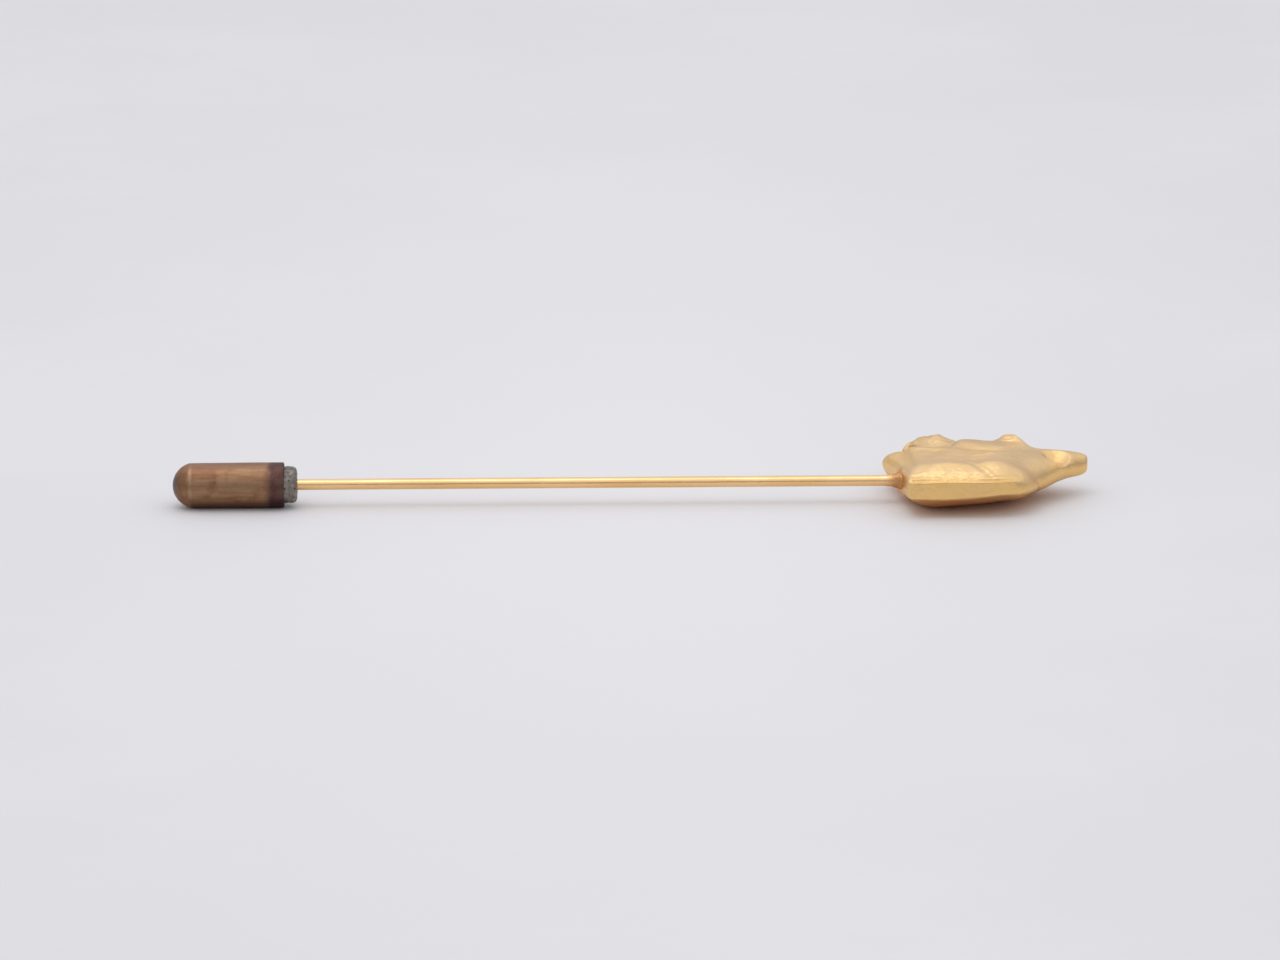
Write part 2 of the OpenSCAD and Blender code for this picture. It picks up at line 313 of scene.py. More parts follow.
pits = np.where(open_part, pits, 0) * PIT_DEPTH * MM
put_co(plug.data, co - normals_of(plug.data) * pits[:, None])
bpy.ops.object.shade_smooth()
print("plug:", len(plug.data.polygons), "faces")

# %% [markdown]
# ## The head
# The casting starts as a copy of the CAD solid with its loose triangles merged and the
# stem cut away, because the outline has to stay the same. A head sculpted from a plain
# block would have to be fitted to that outline on all sides. A voxel remesh gives the
# copy an even skin that can be worked like wax. The voxels are small enough for the lip
# behind the ledge, which is 0.2 mm high.

# %% Head, rough casting
HEAD_LONG = 17
HEAD_X = BOX_HIGH[0] - HEAD_LONG
HEAD_Y = BOX_LOW[1]
FOOT_NEAR = (1.92, 0.35)
FOOT_FAR = (0, 9.9)
VOXEL = 0.055

head = bpy.data.objects.new("head_casting", frame["nodes"]["horse_pin"].data.copy())
bpy.context.scene.collection.objects.link(head)
only(head)
head.data.materials.clear()
head.data.transform(Matrix.Scale(1 / MM, 4))
bpy.ops.object.mode_set(mode="EDIT")
bpy.ops.mesh.select_all(action="SELECT")
bpy.ops.mesh.remove_doubles(threshold=0.0001)
foot_at = Vector((HEAD_X + FOOT_NEAR[0], HEAD_Y + FOOT_NEAR[1], 0))
foot_normal = Vector((FOOT_NEAR[1] - FOOT_FAR[1], FOOT_FAR[0] - FOOT_NEAR[0], 0)).normalized()
bpy.ops.mesh.bisect(plane_co=foot_at + foot_normal * 0.02, plane_no=foot_normal,
                    use_fill=True, clear_outer=True)
bpy.ops.object.mode_set(mode="OBJECT")
skin = head.modifiers.new("skin", "REMESH")
skin.mode = "VOXEL"
skin.voxel_size = VOXEL
bpy.ops.object.modifier_apply(modifier=skin.name)
print("head:", len(head.data.vertices), "vertices")

# %% [markdown]
# The flat facets of the solid are then smoothed away on the relief and on the back,
# while the rim and its ledge keep their edges: a vertex group says where the smoothing
# works, and how much. Subdividing the whole head would round the rim as well. The root
# of the ear and the throat, where the solid's sections meet at an angle, take many more
# steps than the rest.

# %% Smoothing in places
def smooth(piece, weights, steps, name="smoothed"):
    """Smooths a piece where weights are over 0, and keeps it elsewhere."""
    only(piece)
    group = piece.vertex_groups.new(name=name)
    for level in range(1, 11):
        near = np.flatnonzero(np.round(weights * 10) == level)
        group.add([int(i) for i in near], level / 10, "REPLACE")
    melt = piece.modifiers.new(name, "SMOOTH")
    melt.vertex_group = name
    melt.iterations = steps
    melt.factor = 0.5
    bpy.ops.object.modifier_apply(modifier=melt.name)
    piece.vertex_groups.clear()


def ramp(values, start, end):
    """0 at start, 1 at end and smooth between, for an array."""
    t = np.clip((values - start) / (end - start), 0, 1)
    return t * t * (3 - 2 * t)


def head_frame(piece):
    """The head's own u and v in mm, and z, of every vertex."""
    co = co_of(piece.data)
    return co[:, 0] - HEAD_X, co[:, 1] - HEAD_Y, co[:, 2]


print("head's own frame starts at", (round(HEAD_X, 2), HEAD_Y), "mm")

# %% [markdown]
# The weights below are made from places in the head's frame, all in millimetres: the
# relief is what lies above the rim and faces up, and the back is what faces down. Three
# light steps over everything come last.

# %% Head, smoothed
FACET_STEPS = 60
EAR_ROOT_STEPS = 600
THROAT_STEPS = 250
THROAT = (5.4, 10)

u, v, z = head_frame(head)
up = normals_of(head.data)[:, 2]
on_relief = ramp(z, 3.42, 3.6) * ramp(up, 0.1, 0.3)
on_back = ramp(-up, 0.1, 0.3)
on_ear = ramp(u, 12.1, 12.9) * ramp(v, 2.6, 3.6)
on_far_side = ramp(v, 7, 8)
flat_places = np.maximum.reduce([on_relief, on_back, on_ear, on_far_side * 0.6])
smooth(head, flat_places, FACET_STEPS)
ear_root = ramp(u, 10.6, 11.6) * (1 - ramp(u, 13.2, 14.4)) * (1 - ramp(v, 8.6, 9.6))
smooth(head, ear_root * ramp(z, 2.2, 2.8), EAR_ROOT_STEPS, "ear_root")
throat = 1 - ramp(np.hypot(u - THROAT[0], v - THROAT[1]), 0.6, 1.8)
smooth(head, throat, THROAT_STEPS, "throat")
smooth(head, np.ones(len(u)), 3)
print("head smoothed, top at", round(co_of(head.data)[:, 2].max(), 2), "mm")

# %% [markdown]
# ### Carving
# The fine forms are carved as in wax: a groove or a ridge is pulled along a line, and a
# pad is raised inside an outline with soft edges. Sculpting brushes need a window, so
# each stroke is a row of a table instead: its height, how wide it is, and the points it
# passes. The face has its own frame, which is handier for the eye and the mouth: s runs
# from the poll to the lips, t from the jaw to the forehead.

# %% Carving tools
def face(s, t):
    """A place on the face in the head's own frame."""
    return 12.9 - 0.867 * s + 0.498 * t, 8 + 0.498 * s + 0.867 * t


def faces(*places):
    return [face(s, t) for s, t in places]


def curved(points, steps=6):
    """A smooth line through points, with a few places between each two."""
    rows = [points[0], *points, points[-1]]
    made = []
    for a, b, c, d in zip(rows, rows[1:], rows[2:], rows[3:]):
        for k in range(steps):
            t = k / steps
            made.append([0.5 * (2 * q + (r - p) * t + (2 * p - 5 * q + 4 * r - w) * t * t
                                + (3 * q - p - 3 * r + w) * t ** 3)
                         for p, q, r, w in zip(a, b, c, d)])
    return [*made, points[-1]]


def from_line(u, v, points):
    """Distance of each place from a line through points, and how far along it is, 0 to 1."""
    best = np.full(len(u), np.inf)
    along = np.zeros(len(u))
    last = len(points) - 1
    for k, ((u0, v0), (u1, v1)) in enumerate(zip(points, points[1:])):
        du, dv = u1 - u0, v1 - v0
        t = np.clip(((u - u0) * du + (v - v0) * dv) / (du * du + dv * dv), 0, 1)
        away = np.hypot(u - u0 - t * du, v - v0 - t * dv)
        along = np.where(away < best, (k + t) / last, along)
        best = np.minimum(best, away)
    return best, along


def inside(u, v, points):
    """Whether each place is inside a closed outline."""
    odd = np.zeros(len(u), bool)
    for (u0, v0), (u1, v1) in zip(points, [*points[1:], points[0]]):
        if v0 != v1:
            odd ^= ((v0 > v) != (v1 > v)) & (u < (u1 - u0) * (v - v0) / (v1 - v0) + u0)
    return odd


def line_height(u, v, height, half, points):
    """A groove or ridge that fades out at both ends."""
    away, along = from_line(u, v, curved(points))
    return height * np.exp(-(away / half) ** 2) * ramp(np.minimum(along, 1 - along), 0, 0.3)


def pad_height(u, v, height, soft, points):
    """A pad raised inside an outline, with its edge spread over about soft mm."""
    outline = curved([*points, points[0]])
    away, _ = from_line(u, v, outline)
    signed = np.where(inside(u, v, outline), away, -away)
    return height * ramp(signed, -soft / 2, soft / 2)


print("a place on the face:", [round(c, 2) for c in face(3.3, 1)])

# %% [markdown]
# The photo shows two broad locks of the mane along the crest with a crease between them,
# short strands above it, a chest that bulges beside the stem, a brow, and a crinkled
# nose. The eye, the cheek, the nostril and the mouth lie flat to the view and are carved
# as on any horse.

# %% Grooves and ridges
LINES = [
    # height (a groove is below 0), half width, points
    (-0.08, 0.26, [(7.1, 2.6), (7.7, 1.7), (8.3, 1.0), (9.0, 0.35)]),
    (0.035, 0.13, [(7.9, 1.9), (8.6, 1.1), (9.3, 0.4)]),
    (0.07, 0.3, [(7.3, 5.6), (8.2, 5.9), (9.3, 6.4)]),
    (0.06, 0.22, [(6.8, 2.9), (7.5, 3.1), (8.2, 3.6)]),
    (-0.05, 0.2, [(6.9, 4.2), (7.8, 4.5), (8.8, 5.1)]),
    (0.05, 0.3, [(5.0, 4.0), (6.0, 4.8), (7.0, 5.3)]),
    (-0.05, 0.25, [(9.4, 4.3), (10.4, 4.7), (11.4, 4.4)]),
    (-0.05, 0.07, [(1.8, 0.26), (4.0, 0.19), (8.0, 0.19), (11.0, 0.5)]),
    (-0.09, 0.2, [(1.6, 0.7), (4.0, 0.62), (8.0, 0.62), (11.2, 1.1)]),
    (-0.12, 0.4, [(8.4, 1.15), (9.4, 1.1), (10.4, 1.3), (11.4, 1.7)]),
    (-0.03, 0.09, [(2.8, 0.78), (3.8, 0.9), (4.6, 0.78)]),
    (-0.03, 0.09, [(4.9, 0.78), (5.9, 0.92), (6.9, 0.78)]),
    (-0.04, 0.07, [(4.6, 0.47), (5.1, 0.45), (5.6, 0.47)]),
    (-0.05, 0.06, [(5.8, 0.46), (6.3, 0.45), (6.7, 0.46)]),
    (-0.04, 0.07, [(6.9, 0.46), (7.3, 0.44), (8.0, 0.46)]),
    (-0.13, 0.3, [(1.95, 5.4), (1.8, 7.4), (1.7, 9.0), (1.9, 10.6)]),
    (0.07, 0.35, [(1.9, 9.8), (3.0, 9.75), (4.2, 9.6)]),
    (-0.05, 0.5, [(5.2, 8.6), (4.2, 7.4), (3.0, 6.4)]),
    (-0.08, 0.4, faces((1.6, -2.2), (3.2, -2.9), (5.2, -3.0), (7.0, -2.3))),
    (0.05, 0.4, faces((4.5, 0.2), (6.2, 0.15), (8.2, 0.3))),
    (0.05, 0.4, faces((4.4, 1.9), (7.0, 1.75), (9.2, 1.6))),
    (-0.1, 0.35, faces((5.0, 1.1), (7.4, 0.95), (9.8, 0.7))),
    (0.1, 0.14, faces((2.4, 0.7), (2.9, 1.25), (3.5, 1.3), (4.2, 0.85))),
    (0.07, 0.13, faces((2.5, 0.65), (3.2, 0.25), (4.1, 0.45))),
    (-0.06, 0.12, faces((2.6, 0.8), (3.0, 1.05), (3.5, 1.1), (3.9, 0.85))),
    (0.06, 0.22, faces((2.2, 1.5), (3.0, 1.85), (4.0, 1.7))),
    (-0.2, 0.2, [(2.0, 14.1), (2.5, 14.3), (3.1, 14.35)]),
    (0.12, 0.16, faces((12.7, 0.3), (12.6, 1.05), (12.0, 1.2), (11.5, 0.8))),
    (-0.1, 0.2, faces((11.4, 1.5), (10.9, 1.0), (10.8, 0.3))),
    (0.08, 0.16, faces((13.0, -0.25), (12.0, -0.35), (11.1, -0.5))),
    (-0.16, 0.2, faces((12.9, -0.7), (12.0, -0.75), (11.0, -0.75))),
    (-0.08, 0.13, faces((9.9, 1.9), (10.4, 1.2), (10.5, 0.4))),
    (0.08, 0.16, faces((9.5, 2.0), (9.9, 1.4), (10.0, 0.6))),
]
print("deepest groove", min(row[0] for row in LINES), "mm")

# %% [markdown]
# Pads are the wider forms: the two locks, the cheek, the muzzle and the brow are raised,
# and the hollows beside the cheekbone and round the eye are sunk. They could be pulled
# up with proportional editing; an outline says more plainly where each one ends.

# %% Pads
PADS = [
    # height, softness, outline
    (0.1, 0.8, [(2.9, 0.5), (3.6, 1.6), (4.8, 2.35), (6.6, 2.4), (7.6, 1.8), (8.6, 0.5),
                (5.4, 0.2)]),
    (0.07, 0.9, [(8.1, 2.6), (9.6, 3.1), (11.2, 3.0), (12.0, 2.4), (11.0, 0.9), (9.2, 0.7)]),
    (0.1, 1.2, faces((2.4, -1.6), (3.6, -2.6), (5.6, -2.7), (6.8, -2.1), (6.4, -1.2),
                     (4.8, -0.9), (3.2, -1.0))),
    (-0.13, 1.2, faces((4.6, -1.0), (7.6, -1.6), (8.0, 0.2), (4.4, 0.2))),
    (0.08, 0.9, faces((9.4, 0.9), (9.5, 2.3), (10.4, 2.4), (11.0, 1.6), (10.6, 0.8))),
    (0.09, 0.8, faces((11.8, 0.2), (11.8, 1.8), (12.6, 1.9), (13.3, 0.9), (12.9, -0.2))),
    (-0.1, 1.0, faces((2.2, 0.2), (2.2, 2.2), (4.8, 2.2), (4.8, 0.2))),
    (-0.1, 1.0, faces((4.3, 0.9), (4.5, 1.4), (5.3, 1.3), (5.2, 0.7))),
    (-0.06, 1.4, faces((4.8, 1.4), (5.2, 2.6), (8.0, 2.5), (8.2, 1.3))),
    (0.08, 1.2, [(11.2, 9.2), (12.4, 8.8), (12.9, 10.0), (12.1, 11.0), (11.1, 10.6)]),
]
print("highest pad", max(row[0] for row in PADS), "mm")

# %% [markdown]
# Now all of it is worked into the skin at once, only where it faces up, with a fine grain
# as a casting has. Then come the forms that follow the whole head: the far edge of the
# foot is tucked under a little, the near edge sags beside the ear, whatever rises past
# the solid's top is pressed back softly, the valley between the last lock and the ear is
# smoothed out, and nothing goes below the table.

# %% Head, carved
TOP = BOX_HIGH[2]
SOFT_TOP = 0.25
TUCK = 0.35
SAG = 0.25
EAR_VALLEY_STEPS = 600
LOWEST = 0.005
EAR_VALLEY = [(10.4, 3.5), (11.6, 3.1), (12.8, 2.4), (13.4, 2.8)]
u, v, z = head_frame(head)
raised = sum(line_height(u, v, *row) for row in LINES)
raised = raised + sum(pad_height(u, v, *row) for row in PADS)
normals = normals_of(head.data)
facing_up = ramp(normals[:, 2], 0.05, 0.5) * ramp(z, 2.3, 2.7)
worked = co_of(head.data) + normals * (raised * facing_up)[:, None]
grain = field(worked, 1.1, 21, 3) * 0.024 + field(worked, 0.45, 22, 3) * 0.009
worked = worked + normals * (grain * ramp(normals[:, 2], -0.2, 0.3))[:, None]
tucked = ramp(v, 6.5, 8) * (1 - ramp(u, 1.2, 2.4)) * np.maximum(2.3 - z, 0) ** 2
worked[:, 0] += TUCK * tucked
beside_ear = ramp(u, 9.5, 11.5) * (1 - ramp(u, 14.5, 16))
sagged = beside_ear * (1 - ramp(z, 1.9, 2.7)) * (1 - ramp(v, 4, 6.5))
worked[:, 2] -= SAG * sagged
over = np.maximum(worked[:, 2] - (TOP - SOFT_TOP), 0)
worked[:, 2] -= over - SOFT_TOP * (1 - np.exp(-over / SOFT_TOP))
put_co(head.data, worked)
smooth(head, ramp(normals[:, 2], 0.0, 0.4), 4)
away, _ = from_line(u, v, EAR_VALLEY)
in_valley = (1 - ramp(away, 0.4, 1.6)) * ramp(z, 2.2, 2.8)
smooth(head, in_valley, EAR_VALLEY_STEPS, "ear_valley")
worked = co_of(head.data)
worked[:, 2] = np.maximum(worked[:, 2], LOWEST)
put_co(head.data, worked)
print("carved", len(LINES), "lines and", len(PADS), "pads")

# %% [markdown]
# The even skin has more faces than the flat places need, so the last step thins it out.
# Decimate by collapse takes the faces from flat places first and keeps the creases; a
# coarser remesh would lose them.

# %% Head, thinned
only(head)
thin = head.modifiers.new("thin", "DECIMATE")
MOST_TRIANGLES = 170000
thin.ratio = min(1, MOST_TRIANGLES / sum(len(p.vertices) - 2 for p in head.data.polygons))
bpy.ops.object.modifier_apply(modifier=thin.name)
print("head:", len(head.data.polygons), "faces")

# %% [markdown]
# ### Where the plating is worn, with a painted sheen
# Plating wears pale on what stands out and stays dark in the hollows. A shader can guess
# that with Geometry's Pointiness, but an exported model loses it. So it is measured on
# the mesh: a place stands out by as much as it lies above the average of its neighbours.
# The pale coat is partly a painted highlight: every high place that faces up gets most
# of it, for the sheen of the light overhead. The masks are kept with the vertices, and
# the finish reads them by name.

# %% Worn places with a painted sheen, and hollow places
def spread_out(edges, values, steps):
    """The average of each vertex and its neighbours, taken this many times."""
    count = len(values)
    near = np.bincount(edges.ravel(), minlength=count) + 1.0
    for _ in range(steps):
        total = values.copy()
        for axis in range(values.shape[1]):
            total[:, axis] += np.bincount(edges[:, 0], values[edges[:, 1], axis], count)
            total[:, axis] += np.bincount(edges[:, 1], values[edges[:, 0], axis], count)
        values = total / near[:, None]
    return values


def keep_mask(piece, name, values):
    attribute = piece.data.attributes.new(name, "FLOAT", "POINT")
    attribute.data.foreach_set("value", values.astype(np.float32))


AVERAGE_STEPS = 30
edges = np.empty(len(head.data.edges) * 2, np.int64)
head.data.edges.foreach_get("vertices", edges)
edges = edges.reshape(-1, 2)
u, v, z = head_frame(head)
co = co_of(head.data)
normals = normals_of(head.data)
average = spread_out(edges, co, AVERAGE_STEPS)
stands_out = np.einsum("ij,ij->i", co - average, normals)
stands_out = spread_out(edges, stands_out[:, None], 3)[:, 0]
print("stands out, mm:", np.round(np.percentile(stands_out, [1, 10, 50, 90, 99]), 4))
# painted highlight: a high place that faces up gets most of the pale coat, for the sheen of the
# light overhead; standing out adds wear
high = ramp(z, 3.3, 3.75) * ramp(normals[:, 2], -0.3, 0.2)
keep_mask(head, "worn_and_sheen", high * (0.6 + 0.4 * ramp(stands_out, 0.005, 0.045)))
keep_mask(head, "hollow", 0.6 * ramp(-stands_out, 0.0, 0.06) * (1 - 0.6 * ramp(u, 12.8, 13.6)))

# %% [markdown]
# On the face, the poll, the ear's tip and hollow and along the ledge the gold is made
# greyer and darker: partly dull plating, partly painted shade. The soldering has left a
# brown stain round the stem. Both are given by place, as outlines and as a distance from the stem's
# axis.

# %% Dull places with painted shade, and scorched places
# partly dull plating, partly painted shade: inside these outlines the gold is made greyer and darker
DULLED_AND_SHADED = [
    # share, softness, outline
    (1.0, 2.2, [(3.0, 10.0), (5.0, 8.4), (9.0, 7.8), (10.2, 9.4), (8.8, 13.8), (4.0, 16.8),
                (2.2, 16.6), (2.2, 12.0)]),
    (0.9, 2.2, [(10.4, 2.8), (12.2, 1.4), (13.8, 4.0), (13.2, 7.2), (10.2, 7.0)]),
    (0.5, 1.8, [(9.3, 2.8), (9.9, 0.7), (12.4, 0.8), (12.9, 3.2), (11.0, 3.4)]),
    (0.35, 1.0, [(1.6, 0.2), (6.0, 0.1), (11.5, 0.4), (12.4, 1.8), (9.0, 1.6), (5.0, 1.3),
                 (1.8, 1.6)]),
    (0.7, 1.6, [(15.0, 5.6), (18.0, 6.0), (18.0, 10.4), (15.0, 10.4)]),
    (0.35, 1.2, [(13.4, 5.4), (15.8, 6.4), (15.8, 9.4), (13.2, 9.2)]),
]
dull_and_shade = np.max([pad_height(u, v, *row) for row in DULLED_AND_SHADED], axis=0)
keep_mask(head, "dull_and_shade", dull_and_shade * ramp(z, 2.0, 2.8) * ramp(normals[:, 2], -0.2, 0.3))
from_axis = np.hypot(co[:, 1] - AXIS_Y, co[:, 2] - AXIS_Z)
keep_mask(head, "scorched", (1 - ramp(from_axis, 0.7, 1.3)) * (1 - ramp(u, 1.8, 2.4)))
head.data.transform(Matrix.Scale(MM, 4))
bpy.ops.object.shade_smooth()
print("masks on the head:", ", ".join(
    a.name for a in head.data.attributes if a.domain == "POINT" and a.data_type == "FLOAT"))

# %% [markdown]
# ## Finishes
# Node groups hold the effects that several metals share. `clouds` gives soft patches,
# `streaks` gives lines drawn out along the stem's axis, and `specks` gives small spots.
# Each puts out a mask from 0 to 1, and each material uses them at its own size. Painted
# pictures could do this too, but they need unwrapping and show seams on a round piece.

# %% Masks
def mask_group(name, stretch, low, high, kind="ShaderNodeTexNoise"):
    """A node group that turns a place on the surface into a mask from 0 to 1."""
    group = bpy.data.node_groups.new(name, "ShaderNodeTree")
    for socket, kind_of, default in (
            ("Vector", "NodeSocketVector", None), ("Size mm", "NodeSocketFloat", 1.0),
            ("Low", "NodeSocketFloat", low), ("High", "NodeSocketFloat", high)):
        made = group.interface.new_socket(socket, in_out="INPUT", socket_type=kind_of)
        if default is not None:
            made.default_value = default
    group.interface.new_socket("Mask", in_out="OUTPUT", socket_type="NodeSocketFloat")
    nodes, links = group.nodes, group.links
    into, out = nodes.new("NodeGroupInput"), nodes.new("NodeGroupOutput")
    scale = nodes.new("ShaderNodeVectorMath")
    scale.operation = "MULTIPLY"
    scale.inputs[1].default_value = stretch
    links.new(into.outputs["Vector"], scale.inputs[0])
    inverse = nodes.new("ShaderNodeMath")
    inverse.operation = "DIVIDE"
    inverse.inputs[0].default_value = 1 / MM
    links.new(into.outputs["Size mm"], inverse.inputs[1])
    pattern = nodes.new(kind)
    links.new(scale.outputs[0], pattern.inputs["Vector"])
    links.new(inverse.outputs[0], pattern.inputs["Scale"])
    if kind == "ShaderNodeTexNoise":
        pattern.inputs["Detail"].default_value = 5
        pattern.inputs["Roughness"].default_value = 0.6
    spread = nodes.new("ShaderNodeMapRange")
    spread.interpolation_type = "SMOOTHSTEP"
    links.new(pattern.outputs[0], spread.inputs["Value"])
    links.new(into.outputs["Low"], spread.inputs["From Min"])
    links.new(into.outputs["High"], spread.inputs["From Max"])
    links.new(spread.outputs[0], out.inputs["Mask"])
    return group


CLOUDS = mask_group("clouds", (1, 1, 1), 0.4, 0.65)
STREAKS = mask_group("streaks", (0.12, 1, 1), 0.4, 0.65)
SPECKS = mask_group("specks", (1, 1, 1), 0.35, 0.2, "ShaderNodeTexVoronoi")
print("masks:", CLOUDS.name, STREAKS.name, SPECKS.name)


# %% [markdown]
# A metal is built up in coats, as by a restorer: a base colour, then stains, wear and
# dirt over it. The nodes could be placed by hand. A small class keeps the materials
# short instead: `mask` places a shared group, `paint` lays a colour over what is there
# through a mask, and `relief` adds a bump.

# %% Material helper
class Metal:
    """A metal that is built up in coats over a base colour."""

    def __init__(self, name, colour, roughness):
        self.material = bpy.data.materials.new(name)
        self.material.use_nodes = True
        self.nodes = self.material.node_tree.nodes
        self.links = self.material.node_tree.links
        self.shader = self.nodes["Principled BSDF"]
        self.shader.inputs["Metallic"].default_value = 1
        self.place = self.nodes.new("ShaderNodeTexCoord").outputs["Object"]
        self.colour = self.mixed("RGBA", (*colour, 1), (*colour, 1), None)
        self.rough = self.mixed("FLOAT", roughness, roughness, None)
        self.bump = None

    def mixed(self, kind, a, b, mask, share=1.0):
        """A blend from a to b. A Mix node takes colours on its sockets 6 and 7 and puts
        them out on 2. Numbers go in on 2 and 3 and come out on 0."""
        node = self.nodes.new("ShaderNodeMix")
        node.data_type = kind
        first, second = (6, 7) if kind == "RGBA" else (2, 3)
        for index, value in ((first, a), (second, b)):
            if isinstance(value, bpy.types.NodeSocket):
                self.links.new(value, node.inputs[index])
            else:
                node.inputs[index].default_value = value
        if mask is None:
            node.inputs[0].default_value = 0
        else:
            self.links.new(self.times(mask, share), node.inputs[0])
        return node.outputs[2 if kind == "RGBA" else 0]

    def times(self, mask, share):
        """A mask made weaker, by a number or by another mask."""
        if isinstance(share, float) and share == 1:
            return mask
        node = self.nodes.new("ShaderNodeMath")
        node.operation = "MULTIPLY"
        self.links.new(mask, node.inputs[0])
        if isinstance(share, bpy.types.NodeSocket):
            self.links.new(share, node.inputs[1])
        else:
            node.inputs[1].default_value = share
        return node.outputs[0]

    def mask(self, group, size, low=None, high=None):
        node = self.nodes.new("ShaderNodeGroup")
        node.node_tree = group
        self.links.new(self.place, node.inputs["Vector"])
        node.inputs["Size mm"].default_value = size
        for name, value in (("Low", low), ("High", high)):
            if value is not None:
                node.inputs[name].default_value = value
        return node.outputs["Mask"]

    def made(self, name):
        """A mask that was worked out for every vertex of the piece."""
        node = self.nodes.new("ShaderNodeAttribute")
        node.attribute_name = name
        return node.outputs["Fac"]

    def band(self, axis, start, end):
        """A mask that goes from 0 at start to 1 at end, in mm along X, Y or Z."""
        split = self.nodes.new("ShaderNodeSeparateXYZ")
        self.links.new(self.place, split.inputs[0])
        node = self.nodes.new("ShaderNodeMapRange")
        node.interpolation_type = "SMOOTHSTEP"
        self.links.new(split.outputs[axis], node.inputs["Value"])
        node.inputs["From Min"].default_value = min(start, end) * MM
        node.inputs["From Max"].default_value = max(start, end) * MM
        if start > end:
            node.inputs["To Min"].default_value = 1
            node.inputs["To Max"].default_value = 0
        return node.outputs[0]

    def paint(self, mask, colour, roughness=None, share=1.0):
        self.colour = self.mixed("RGBA", self.colour, (*colour, 1), mask, share)
        if roughness is not None:
            self.rough = self.mixed("FLOAT", self.rough, roughness, mask, share)

    def relief(self, mask, depth):
        node = self.nodes.new("ShaderNodeBump")
        node.inputs["Strength"].default_value = 1
        node.inputs["Distance"].default_value = depth * MM
        self.links.new(mask, node.inputs["Height"])
        if self.bump is not None:
            self.links.new(self.bump, node.inputs["Normal"])
        self.bump = node.outputs[0]

    def finish(self, *pieces):
        self.links.new(self.colour, self.shader.inputs["Base Color"])
        self.links.new(self.rough, self.shader.inputs["Roughness"])
        if self.bump is not None:
            self.links.new(self.bump, self.shader.inputs["Normal"])
        for piece in pieces:
            piece.data.materials.clear()
            piece.data.materials.append(self.material)
        print("finish:", self.material.name, "with", len(self.nodes), "nodes")


print("masks that a metal can use:", len(bpy.data.node_groups))

# %% [markdown]
# The head has a satin plating: broad soft highlights with faint patches of warmer and
# greyer gold, where the greyer ones are partly painted shade. Its high places carry a pale
# painted highlight, and low down a red-brown painted shade stands for the warm light
# bounced between the gold and the table. The stem is the same gold, polished and drawn
# lengthwise. The solder starts as polished as the stem and turns brown and rough towards the head.

# %% Gold
SCORCHED = (0.64, 0.33, 0.14)

satin = Metal("satin_gold", (0.88, 0.575, 0.225), 0.3)
satin.paint(satin.mask(CLOUDS, 3.5), (0.86, 0.57, 0.25), 0.38)
satin.paint(satin.mask(CLOUDS, 1.1, 0.5, 0.7), (0.85, 0.53, 0.18), share=0.5)
# partly wear, partly painted highlight: a pale coat on high places that face up
satin.paint(satin.made("worn_and_sheen"), (0.87, 0.6, 0.315), 0.34)
# partly dull plating, partly painted shade: greyer, darker gold on the face, poll, ear and ledge
satin.paint(satin.made("dull_and_shade"), (0.69, 0.48, 0.255), 0.42)
satin.paint(satin.made("hollow"), (0.74, 0.43, 0.15), 0.4)
satin.paint(satin.made("scorched"), SCORCHED, 0.42)
# painted shade and bounced light: red-brown gold low down, under the head
satin.paint(satin.band("Z", 1.8, 0.9), (0.84, 0.4, 0.1), 0.36)
satin.relief(satin.mask(CLOUDS, 0.35, 0.2, 0.8), 0.013)
satin.relief(satin.mask(CLOUDS, 1.4, 0.2, 0.8), 0.03)
satin.finish(head)

polished = Metal("polished_gold", (0.93, 0.61, 0.3), 0.16)
polished.paint(polished.mask(STREAKS, 0.8), (0.86, 0.54, 0.24), 0.24)
polished.relief(polished.mask(STREAKS, 0.25, 0.3, 0.7), 0.004)
polished.finish(stem)

burnt = Metal("burnt_solder", (0.93, 0.61, 0.3), 0.16)
brown = burnt.band("X", 20.7, 22.1)
burnt.paint(brown, SCORCHED, 0.4)
burnt.paint(burnt.mask(CLOUDS, 0.5), (0.5, 0.23, 0.09), 0.5, share=burnt.times(brown, 0.6))
on_top = burnt.times(brown, burnt.band("Z", AXIS_Z + 0.1, AXIS_Z + 0.4))
burnt.paint(
    burnt.mask(SPECKS, 0.2, 0.3, 0.12), (0.2, 0.09, 0.04), share=burnt.times(on_top, 0.6))
burnt.relief(burnt.times(burnt.mask(CLOUDS, 0.2, 0.2, 0.8), brown), 0.01)
burnt.finish(solder)

# %% [markdown]
# The cup is old brass that was never plated again: lengthwise streaks of olive, tan and
# brown, orange patches on the dome with a pale crease beside them, and a dark purple-brown
# band near the mouth, with an uneven edge. Light is painted over it: darker maroon low down
# and at the bottom of the band as painted shade, a paler top as a painted highlight, and a
# blue-grey tip on the dome as a painted reflection. The plug is a dull grey metal with dark
# green corrosion in its pits.

# %% Aged brass and grey plug
aged = Metal("aged_brass", (0.24, 0.116, 0.06), 0.42)
aged.paint(aged.mask(STREAKS, 0.9), (0.34, 0.2, 0.11), 0.38)
aged.paint(aged.mask(CLOUDS, 1.5, 0.45, 0.7), (0.2, 0.085, 0.045), 0.48, share=0.8)
aged.paint(aged.mask(CLOUDS, 0.6, 0.5, 0.7), (0.3, 0.19, 0.08), share=0.4)
# painted shade: darker and maroon towards the bottom of the cup
aged.paint(aged.band("Z", 1.3, 0.3), (0.19, 0.07, 0.042), share=0.6)
